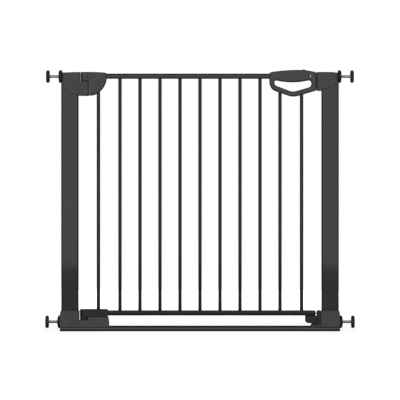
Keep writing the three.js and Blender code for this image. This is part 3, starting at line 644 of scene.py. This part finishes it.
def bar_mesh(node, welded_top):
    """A round tube with a coated weld bead, slightly uneven, where it meets each rail."""
    low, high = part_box(node)
    radius = (high[0] - low[0]) / 2 + COAT
    rail_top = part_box("bottom_rail")[1][2]
    rail_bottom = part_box("top_rail")[0][2]
    bead = 1.5 * MM
    profile = [(radius - 1 * MM, low[2]), (radius, low[2])]
    steps = 5
    for i in range(steps + 1):
        t = i / steps
        profile.append((radius + bead * 0.62 * (1 - t) ** 2, rail_top - 0.3 * MM + bead * t))
    top = high[2]
    if welded_top:
        for i in range(steps + 1):
            t = i / steps
            profile.append(
                (radius + bead * 0.62 * t**2, rail_bottom + 0.3 * MM - bead * (1 - t))
            )
    profile += [(radius, top), (radius - 1 * MM, top), (radius - 1 * MM, low[2])]
    seed = low[0] * 900

    def ripple(angle, r, height):
        return (r - radius) * 0.28 * math.sin(5 * angle + seed) if r > radius else 0

    mesh = turned(profile, 40, ripple)
    middle = Vector(((low[0] + high[0]) / 2, (low[1] + high[1]) / 2, 0))
    mesh.transform(Matrix.Translation(middle) @ Matrix.Rotation(-math.pi / 2, 4, "Y"))
    return mesh


def add_bars():
    rail_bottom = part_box("top_rail")[0][2]
    for number in range(1, 12):
        node = f"bar_{number:02d}"
        welded_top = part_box(node)[1][2] > rail_bottom
        bar = add_piece(f"{node}_tube", bar_mesh(node, welded_top), node)
        bar.data.materials[0] = BAR_LOOK


# Mouldings ------------------------------------------------------------------------------------


def spindle_bore(side, height, start, stop):
    ends = sorted((side * start * MM, side * stop * MM))
    return cylinder("x", (0, height), *ends, 4.6 * MM)


def post_pocket(side):
    low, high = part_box("left_post" if side < 0 else "right_post")
    gap = 0.3 * MM
    x = (low[0] - 4 * MM, high[0] + gap) if side < 0 else (low[0] - gap, high[0] + 4 * MM)
    return block(x, (low[1] - gap, high[1] + gap), (0.64, POST_TOP + gap))


def hinge_bore(radius, low, high):
    return cylinder("z", (HINGE.x, HINGE.y), low, high, radius)


def upper_hinge_bracket():
    face = outline(
        (-399.3, 717.5),
        [
            (-395, 703.2, -384.3, 694.4),
            (-373, 684.9, -360, 683.7),
            (-350, 682.4),
            (-324.2, 681.6),
            (-321.2, 681.6, -321.2, 684),
            (-321.2, 724.85),
            (-346.9, 724.85),
            (-346.9, 748.4),
            (-346.9, 751, -349.5, 751),
            (-396.7, 749.5),
            (-399.3, 749.3, -399.3, 746.8),
        ],
    )
    node = "upper_hinge_bracket"
    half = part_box(node)[1][1]
    rim = (BRACKET_EDGE, BRACKET_EDGE)

    def share(middle):
        return 0.6 if middle.x > -0.347 and middle.y > 0.7247 else 1

    body = prism([face], "y", -half, half, rim, 6, share)
    radius, side = 15.3 * MM, half + 0.4 * MM
    reach = math.asin(side / radius)
    knuckle = circle(radius, (HINGE.x, 0), 40, -reach, reach)
    plan = knuckle + [Vector((-0.42, side)), Vector((-0.42, -side))]
    lower = prism([plan], "z", 0.6, 0.72485, (0, SEAM_EDGE))
    wall = rounded_rectangle((-0.41, -side), (-0.3469, side), 5 * MM)
    shaped = common(body, joined(lower, prism([wall], "z", 0.71, 0.8)))
    height = JOINT["upper_left_wheel"]["pos_m"][2]
    bush = hinge_bore(6.1 * MM, 0.690, 0.73)
    mesh = cut(shaped, post_pocket(-1), spindle_bore(-1, height, 357, 405), bush)
    add_piece("upper_hinge_bracket_moulding", mesh, node)


def gate_hinge_bracket():
    face = outline(
        (-320.6, 684.6),
        [
            (-320.6, 682.6, -318, 682.6),
            (-311, 682.6, -303, 686),
            (-284, 696, -270, 713, -270, 741),
            (-270, 748, -273.2, 748.7),
            (-290, 751, -321, 751),
            (-343.5, 751),
            (-346.1, 751, -346.1, 748.4),
            (-346.1, 725.15),
            (-320.6, 725.15),
        ],
        samples=16,
    )
    node = "gate_hinge_bracket"
    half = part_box(node)[1][1]
    rim = (BRACKET_EDGE, BRACKET_EDGE)

    def share(middle):
        return 0.6 if middle.x < -0.3205 and middle.y < 0.75 else 1

    body = prism([face], "y", -half, half, rim, 6, share)
    wide = half + 0.4 * MM
    near = Vector((-0.3206, wide))
    far = [Vector((-0.25, -wide)), Vector((-0.25, wide))]
    radius, neck = 9.6 * MM, -0.328
    knuckle = circle(radius, (HINGE.x, 0), 40, 0.5 * math.pi, 1.5 * math.pi)
    shank = [Vector((neck, radius)), *knuckle, Vector((neck, -radius))]
    plan = [Vector((near.x, -wide)), *far, near, *shank]
    upper = prism([plan], "z", 0.72515, 0.8, (SEAM_EDGE, 0))
    lower = block((near.x + 0.05 * MM, -0.255), (-wide - 1 * MM, wide + 1 * MM), (0.6, 0.79))
    shaped = common(body, joined(upper, lower))
    mesh = cut(shaped, hinge_bore(4.3 * MM, 0.72, 0.744))
    add_piece("gate_hinge_bracket_moulding", mesh, node)


def keeper_bracket():
    face = outline(
        (338.4, 699.2),
        [
            (338.4, 696.6, 341.6, 696.6),
            (352.5, 696.6),
            (358, 699, 369, 702.2),
            (392, 707.5, 399.3, 717.6),
            (399.3, 746.2),
            (399.3, 748.4, 396.7, 748.9),
            (392, 750.4, 377, 750.8),
            (341.6, 751),
            (338.4, 751, 338.4, 748.4),
        ],
    )
    node = "keeper_bracket"
    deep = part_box(node)[1][1]
    body = prism([face], "y", -deep, deep, (BRACKET_EDGE, BRACKET_EDGE), 6)
    height = JOINT["upper_right_wheel"]["pos_m"][2]
    half = 8 * MM
    mouth = rounded_rectangle((-half, 0.727), (half, 0.748), 1.5 * MM)
    pocket = prism([mouth], "x", 0.33, 0.352)
    mesh = cut(body, post_pocket(1), spindle_bore(1, height, 357, 405), pocket)
    add_piece("keeper_bracket_moulding", mesh, node)


def foot_section(low, high):
    """Half-width of a foot at each height, as a closed outline in Y and Z."""
    wide, slim, top = high[1], 13.2 * MM, high[2]
    right = [
        (wide, low[2]),
        (wide, 0.024),
        (wide - 0.3 * MM, 0.0262),
        (slim + 2 * MM, 0.0322),
        (slim + 0.4 * MM, 0.0355),
        (slim, 0.039),
        (slim, top),
    ]
    return [Vector(p) for p in right] + [Vector((-p[0], p[1])) for p in right[::-1]]


def foot_hollows(side):
    low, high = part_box("left_post" if side < 0 else "right_post")
    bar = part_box("threshold_tube")
    gap = 0.3 * MM
    post = block((low[0] - gap, high[0] + gap), (low[1] - gap, high[1] + gap), (0, 0.07))
    threshold = block((-0.5, 0.5), (bar[0][1] - gap, bar[1][1] + gap), (-0.01, bar[1][2] + gap))
    height = JOINT["lower_right_wheel"]["pos_m"][2]
    return [post, threshold, spindle_bore(side, height, 400, 410)]


def foot(node, face, side, extra=()):
    low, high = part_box(node)
    body = prism([face], "y", -0.02, 0.02)
    section = prism([foot_section(low, high)], "x", low[0] - 1 * MM, high[0] + 1 * MM)
    shaped = bevelled(common(body, section), 2 * MM)
    add_piece(f"{node}_moulding", cut(shaped, *foot_hollows(side), *extra), node)


def add_feet():
    left = outline(
        (-263.2, 11.8),
        [
            (-265, 38.5),
            (-265.2, 40.8, -267.5, 40.8),
            (-324.6, 40.8),
            (-324.6, 31.8),
            (-350.2, 31.8),
            (-350.2, 59.3),
            (-401.9, 59.3),
            (-404.2, 58.8, -404.8, 55.3),
            (-405.4, 48),
            (-405.4, 11.8),
        ],
    )
    foot("left_foot_bracket", left, -1, [hinge_bore(6.1 * MM, 0.0183, 0.033)])
    right = outline(
        (321.4, 11.8),
        [
            (405.4, 11.8),
            (405.4, 48),
            (404.8, 55.3),
            (404.2, 58.8, 401.9, 59.3),
            (350.2, 59.3),
            (350.2, 18),
            (321.4, 18),
        ],
    )
    foot("right_foot_bracket", right, 1)


def bottom_strike():
    face = outline(
        (322.6, 18.3),
        [
            (349.9, 18.3),
            (349.9, 58.3),
            (349.9, 60, 348.2, 60),
            (341, 60),
            (338.7, 60, 338.7, 57.3),
            (338.7, 22.6),
            (326.7, 22.6),
            (324.2, 22.6, 322.6, 19.6),
        ],
    )
    node = "bottom_strike"
    low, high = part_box(node)
    body = prism([face], "y", -0.02, 0.02)
    section = prism([foot_section(low, high)], "x", low[0] - 1 * MM, high[0] + 1 * MM)
    add_piece("bottom_strike_insert", bevelled(common(body, section), 0.7 * MM), node)


def gate_hinge_shoe():
    node = "gate_hinge_shoe"
    low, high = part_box(node)
    half, bottom = 10 * MM, 41.3 * MM
    ends = [Vector((-0.318, -half)), Vector((high[0], -half)), Vector((high[0], half))]
    knuckle = circle(12 * MM, (HINGE.x, 0), 40, 0.45 * math.pi, 1.55 * math.pi)
    plan = ends + [Vector((-0.318, half))] + knuckle
    upper = prism([plan], "z", bottom, high[2], (2 * MM, 2.2 * MM))
    boss = cylinder("z", (HINGE.x, 0), low[2], bottom + 2 * MM, 11.4 * MM, 64)
    ramp = outline(
        (-360, 30), [(-266.8, 30), (-266.8, 60.7), (-267.3, 63.7, -271.3, 63.7), (-360, 63.7)]
    )
    shaped = common(joined(upper, boss), prism([ramp], "y", -0.02, 0.02))
    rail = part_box("bottom_rail")
    gap = 0.3 * MM
    channel = block(
        (rail[0][0] - gap, -0.26),
        (rail[0][1] - gap, rail[1][1] + gap),
        (rail[0][2] - gap, rail[1][2] + gap),
    )
    spring_pocket = hinge_bore(8.5 * MM, 0.03, 0.056)
    mesh = cut(shaped, channel, spring_pocket, hinge_bore(4.3 * MM, 0.055, 0.0612))
    add_piece("gate_hinge_shoe_moulding", mesh, node)


def bottom_catch_shoe():
    face = outline(
        (304.9, 45.2),
        [
            (304.9, 34.2),
            (304.9, 23.2, 315.9, 23.2),
            (338.2, 23.2),
            (338.2, 43),
            (338.2, 45, 335.2, 45.2),
            (334.6, 50),
            (338.2, 50.4),
            (338.2, 52.6),
            (334.6, 53.2),
            (334.6, 59.4),
            (332.3, 59.4),
            (332.3, 45.2),
        ],
    )
    half, edge = 9 * MM, 0.8 * MM
    mesh = prism([face], "y", -half, half, (edge, edge))
    add_piece("bottom_catch_shoe_moulding", mesh, "bottom_catch_shoe")


# Handle and latch -------------------------------------------------------------------------------


def handle_loops():
    outer = outline(
        (201, 730),
        [
            (200.9, 714, 204.5, 702, 217.5, 696.3),
            (255, 682.9),
            (269.8, 678, 284.5, 682),
            (333.4, 696.3),
            (337.8, 697.6, 337.8, 702),
            (337.8, 746.5),
            (337.8, 749.9, 334.5, 750.7),
            (312, 756.5, 285, 756.9),
            (248, 756.9, 208.5, 751),
            (200.6, 750, 200.6, 744),
        ],
        samples=16,
    )
    hole = outline(
        (215.8, 721),
        [
            (216.2, 728, 225.5, 726),
            (269.5, 716.6, 312.5, 726.6),
            (323.4, 728.5, 323, 717),
            (322.5, 708.8, 314, 705.8),
            (280, 696),
            (269.5, 692.9, 260, 696),
            (224, 709.6),
            (216, 712.6, 215.8, 721),
        ],
        samples=16,
    )
    return [outer, hole]


def add_handle():
    deep = 13 * MM
    edge = 4.8 * MM
    whole = prism(handle_loops(), "y", -deep, deep, (edge, edge), 6)
    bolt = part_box("latch_bolt")
    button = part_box("thumb_slide")
    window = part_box("indicator_window")
    gap = 0.3 * MM
    travel = JOINT["bolt_slide"]["range_m"][1]
    middle = (button[0][0] + button[1][0]) / 2 - 3.3 * MM
    slot = [
        Vector((middle - 7.3 * MM, -4.8 * MM)),
        Vector((middle + 7.3 * MM + travel, -4.8 * MM)),
        Vector((middle + 7.3 * MM + travel, 4.8 * MM)),
        Vector((middle - 7.3 * MM, 4.8 * MM)),
    ]
    cavity = outline(
        (264, 731.6), [(333.9, 731.6), (333.9, 748.2), (312, 753.8, 285, 754.2), (264, 753.8)]
    )
    bolt_hole = block(
        (0.33, 0.34), (bolt[0][1] - gap, bolt[1][1] + gap), (bolt[0][2] - gap, bolt[1][2] + gap)
    )
    rim = 0.9 * MM
    lens_hole = rounded_rectangle(
        (window[0][0] + rim, window[0][2] + rim), (window[1][0] - rim, window[1][2] - rim), 1.1 * MM
    )
    tools = [
        prism([cavity], "y", -10.5 * MM, 10.5 * MM),
        bolt_hole,
        prism([slot], "z", 0.750, 0.765),
    ]
    seam = gap / 2
    front = block((0.15, 0.4), (-0.02, -seam), (0.6, 0.8))
    rear = block((0.15, 0.4), (seam, 0.02), (0.6, 0.8))
    hollow = cut(whole, *tools)
    front_mesh = cut(common(hollow.copy(), front), prism([lens_hole], "y", -0.02, -0.009))
    add_piece("handle_front_moulding", front_mesh, "handle_front_shell")
    wells = []
    for number in (1, 2):
        low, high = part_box(f"handle_screw_{number}")
        centre = ((low[0] + high[0]) / 2, (low[2] + high[2]) / 2)
        wells.append(cylinder("y", centre, 0.010, 0.02, 3.4 * MM))
    add_piece("handle_rear_moulding", cut(common(hollow, rear), *wells), "handle_rear_shell")


def indicator_window():
    node = "indicator_window"
    low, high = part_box(node)
    rim = 1.2 * MM
    lens = rounded_rectangle((low[0] + rim, low[2] + rim), (high[0] - rim, high[2] - rim), 1 * MM)
    mesh = prism([lens], "y", low[1], high[1], (1 * MM, 0), 5)
    add_piece("indicator_lens", mesh, node)


def thumb_slide():
    """The sliding button, with five grip ridges across its crown."""
    node = "thumb_slide"
    low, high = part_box(node)
    middle = (low[0] + high[0]) / 2 - 3.3 * MM
    half = 7 * MM
    count = 60
    crown = []
    for i in range(count + 1):
        t = i / count
        x = middle + half - 2 * half * t
        arch = math.sin(math.pi * t) ** 0.7
        ridge = 0.35 * MM * max(0.0, math.sin(11 * math.pi * t)) * arch
        crown.append(Vector((x, high[2] - 0.4 * MM - 2.4 * MM * (1 - arch) + ridge)))
    base = [Vector((middle - half, low[2] + 6 * MM)), Vector((middle + half, low[2] + 6 * MM))]
    width = 4.5 * MM
    button = prism([base + crown], "y", -width, width, (0.7 * MM, 0.7 * MM), 3)
    flange_low = low[2] + 6 * MM
    flange = block((low[0], high[0]), (-7 * MM, 7 * MM), (flange_low, flange_low + 1.5 * MM))
    peg = cylinder("z", (middle, 0), low[2], flange_low + 1 * MM, 1.9 * MM, 24)
    add_piece("thumb_slide_button", joined(button, flange, peg), node)


# Turned parts: wall adjusters and screws ---------------------------------------------------------


def placed(mesh, place, outward):
    """A piece turned about X put on its axis, facing outward to the left or right."""
    turn = Matrix.Identity(4) if outward > 0 else Matrix.Rotation(math.pi, 4, "Z")
    mesh.transform(Matrix.Translation((0, 0, place)) @ turn)
    return mesh


def thread(start, stop, radius, pitch):
    """A rod with a helical V thread, chamfered at both ends."""
    around, per_pitch = 24, 6
    rows = int((stop - start) / pitch * per_pitch)
    depth = 0.2 * MM
    vertices, faces = [], []
    for row in range(rows + 1):
        x = start + (stop - start) * row / rows
        end = min(x - start, stop - x)
        for i in range(around):
            angle = 2 * math.pi * i / around
            phase = (x / pitch - i / around) % 1
            groove = depth * (0.5 + 0.5 * math.cos(2 * math.pi * phase))
            r = min(radius - groove, radius - depth + end)
            vertices.append((x, r * math.cos(angle), r * math.sin(angle)))
    for row in range(rows):
        for i in range(around):
            j = (i + 1) % around
            a, b = row * around, (row + 1) * around
            faces.append((a + i, a + j, b + j, b + i))
    faces.append(tuple(range(around))[::-1])
    faces.append(tuple(rows * around + i for i in range(around)))
    return clean_mesh(vertices, faces)


def wheel_ripple(rim):
    """Twelve shallow finger grips round the rim of a hand nut."""

    def ripple(angle, radius, height):
        share = max(0.0, (radius / rim - 0.72) / 0.28)
        return -0.9 * MM * share * (0.5 - 0.5 * math.cos(12 * angle)) ** 2

    return ripple


def add_adjuster(place):
    outward = 1 if place.endswith("right") else -1
    upper = place.startswith("upper")
    height = JOINT[f"{place}_wheel"]["pos_m"][2]

    def span(node):
        low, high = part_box(node)
        return sorted((abs(low[0]), abs(high[0])))

    start, stop = span(f"spindle_{place}")
    rod = thread(start, stop, 4 * MM, 1.25 * MM)
    add_piece(f"spindle_{place}_thread", placed(rod, height, outward), f"spindle_{place}")

    inner, rim_face = span(f"wall_cup_{place}")
    cup = [
        (0, 3.6), (4.3, 3.6), (4.3, 0), (6.4, 0), (7.2, 1.1), (14.6, 1.1), (15.4, 0.2),
        (17.2, 0.8), (18.2, 3), (18.2, 6.3), (17.6, 7.7), (16.9, 7.7), (16.9, 4.9), (0, 4.9),
    ]
    profile = [(r * MM, inner + x * MM) for r, x in cup]
    shape = turned(soften(profile, 0.8 * MM))
    add_piece(f"wall_cup_{place}_moulding", placed(shape, height, outward), f"wall_cup_{place}")

    back, face = span(f"wall_pad_{place}")
    pad = [(0, back), (16.5 * MM, back), (16.5 * MM, face)]
    for ring in (14.2, 11.4, 8.6, 5.8):
        pad += [
            ((ring + 0.6) * MM, face),
            ((ring + 0.3) * MM, face - 0.5 * MM),
            ((ring - 0.3) * MM, face - 0.5 * MM),
            ((ring - 0.6) * MM, face),
        ]
    pad.append((0, face))
    shape = turned(soften(pad, 0.7 * MM, 3))
    add_piece(f"wall_pad_{place}_disc", placed(shape, height, outward), f"wall_pad_{place}")

    seat, _ = span(f"nut_wheel_{place}")
    if upper:
        wheel = [
            (4.3, 0), (16.4, 0), (18.5, 1.5), (19, 3.8), (18.7, 6.4), (17.2, 8.6), (14, 9.9),
            (9.2, 10.2), (8.6, 9.2), (6.6, 9.2), (6.1, 10.2), (4.3, 10.2), (4.3, 0),
        ]
    else:
        wheel = [
            (4.3, 0), (17.6, 0), (18.9, 1.4), (18.9, 2.6), (17.6, 5), (14, 7), (9.2, 7.9),
            (8.6, 7), (6.6, 7), (6.1, 8), (4.3, 8), (4.3, 0),
        ]
    profile = [(r * MM, seat + x * MM) for r, x in wheel]
    rim = max(r for r, _ in profile)
    shape = turned(soften(profile, 0.9 * MM), 96, wheel_ripple(rim))
    add_piece(f"nut_wheel_{place}_grip", placed(shape, height, outward), f"nut_wheel_{place}")


def screw_mesh(node, head_radius, head_height):
    """A domed screw head with a hexagon socket, its shank running forward from it."""
    low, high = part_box(node)
    centre = Vector(((low[0] + high[0]) / 2, 0, (low[2] + high[2]) / 2))
    shank = head_radius * 0.5
    under = high[1] - head_height
    profile = [
        (0, low[1]), (shank, low[1] + shank * 0.4), (shank, under), (head_radius, under),
        (head_radius, under + head_height * 0.35), (head_radius * 0.86, high[1] - 0.3 * MM),
        (head_radius * 0.62, high[1]), (head_radius * 0.5, high[1]),
        (head_radius * 0.46, high[1] - head_height * 0.55), (0, high[1] - head_height * 0.6),
    ]
    socket = head_radius * 0.5

    def ripple(angle, radius, height):
        if height < under + head_height * 0.3 or radius > socket or radius == 0:
            return 0
        turn = (angle % (math.pi / 3)) - math.pi / 6
        return radius * (math.cos(math.pi / 6) / math.cos(turn) - 1)

    mesh = turned(profile, 48, ripple)
    mesh.transform(Matrix.Translation(centre) @ Matrix.Rotation(math.pi / 2, 4, "Z"))
    return mesh


def add_screws():
    for number in range(1, 5):
        node = f"bracket_screw_{number}"
        add_piece(f"{node}_head", screw_mesh(node, 3.5 * MM, 2.2 * MM), node)
    for number in (1, 2):
        node = f"handle_screw_{number}"
        add_piece(f"{node}_head", screw_mesh(node, 3 * MM, 2.2 * MM), node)


# Carried-over CAD nodes -------------------------------------------------------------------------


def dress_cad_nodes():
    """Nodes whose shape is right: a procedural material, and the edges of the latch bolt and the
    indicator flag rounded a little.
    """
    widths = {"latch_bolt": 0.5 * MM, "indicator_flag": 0.3 * MM}
    for name in (
        "upper_hinge_bush", "lower_hinge_bush", "upper_hinge_pin", "lower_hinge_pin",
        "closer_spring", "latch_bolt", "indicator_flag",
    ):
        obj = frame["nodes"][name]
        obj.data.materials.clear()
        obj.data.materials.append(LOOKS[SLOT_OF[name]])
        if name in widths:
            bevel = obj.modifiers.new("edge", "BEVEL")
            bevel.width = widths[name]
            bevel.segments = 2
            bevel.limit_method = "ANGLE"


bpy.context.scene.view_settings.view_transform = "Standard"
add_camera()
add_world()
add_floor()
add_lights()
add_frame_tubes()
add_rails()
add_bars()
upper_hinge_bracket()
gate_hinge_bracket()
keeper_bracket()
add_feet()
bottom_strike()
gate_hinge_shoe()
bottom_catch_shoe()
add_handle()
indicator_window()
thumb_slide()
for place in PLACES:
    add_adjuster(place)
add_screws()
dress_cad_nodes()
